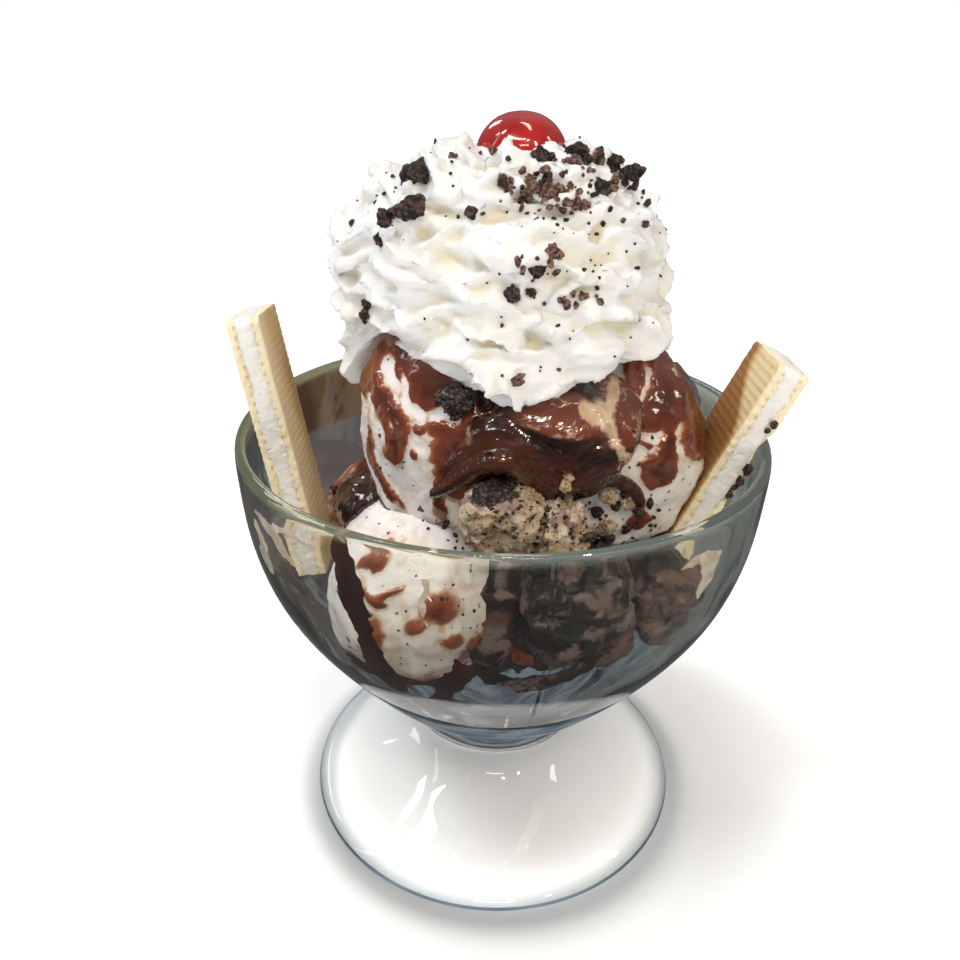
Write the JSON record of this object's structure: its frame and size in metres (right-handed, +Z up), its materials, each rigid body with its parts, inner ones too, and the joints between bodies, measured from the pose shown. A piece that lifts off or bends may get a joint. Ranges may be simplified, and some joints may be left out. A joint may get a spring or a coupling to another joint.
{
  "type": "ice cream sundae",
  "caption": "Ice cream sundae in a clear footed glass bowl, with hot fudge, brownie and cookie chunks, whipped cream with crumbs, a cherry and wafer fingers.",
  "frame": {"origin": "centre of the glass's foot on the surface it stands on; the wafer fingers reach about as far to the left as to the right, so it is also the middle of the whole's footprint", "axes": "+Z up through the bowl to the cherry, the longest way; X runs from the left wafer finger to the right one; -Y is the front, and Y is the shortest way"},
  "size_m": [0.1333, 0.1302, 0.1849],
  "materials": {
    "glass": "clear, polished",
    "wafer": "dry baked wafer, fine waffle relief",
    "wafer_filling": "dense sugar cream",
    "cookie": "dry, crumbly dark cookie",
    "brownie": "moist, torn cake",
    "ice_cream": "melting, with cookie flecks and fudge streaks",
    "fudge": "wet, thick sauce",
    "whipped_cream": "soft, satin",
    "cherry": "syrupy gloss"
  },
  "bodies": {
    "root": {"glass_foot": "glass", "glass_cup": "glass", "glass_rim": "glass", "wafer_left_outer_sheet": "wafer", "wafer_left_cream": "wafer_filling", "wafer_left_inner_sheet": "wafer", "wafer_right_outer_sheet": "wafer", "wafer_right_cream": "wafer_filling", "wafer_right_inner_sheet": "wafer", "cookie_chunk_left": "cookie", "cookie_chunk_right": "cookie", "cookie_chunk_upper": "cookie", "cookie_chunk_wedge": "cookie", "brownie_front": "brownie", "brownie_right": "brownie", "brownie_bottom": "brownie", "scoop_upper_left": "ice_cream", "scoop_upper_right": "ice_cream", "scoop_upper_back": "ice_cream", "scoop_lower_front": "ice_cream", "scoop_lower_left": "ice_cream", "scoop_lower_back": "ice_cream", "hot_fudge": "fudge", "hot_fudge_blob": "fudge", "cherry": "cherry", "whipped_cream": "whipped_cream"}
  },
  "joints": []
}
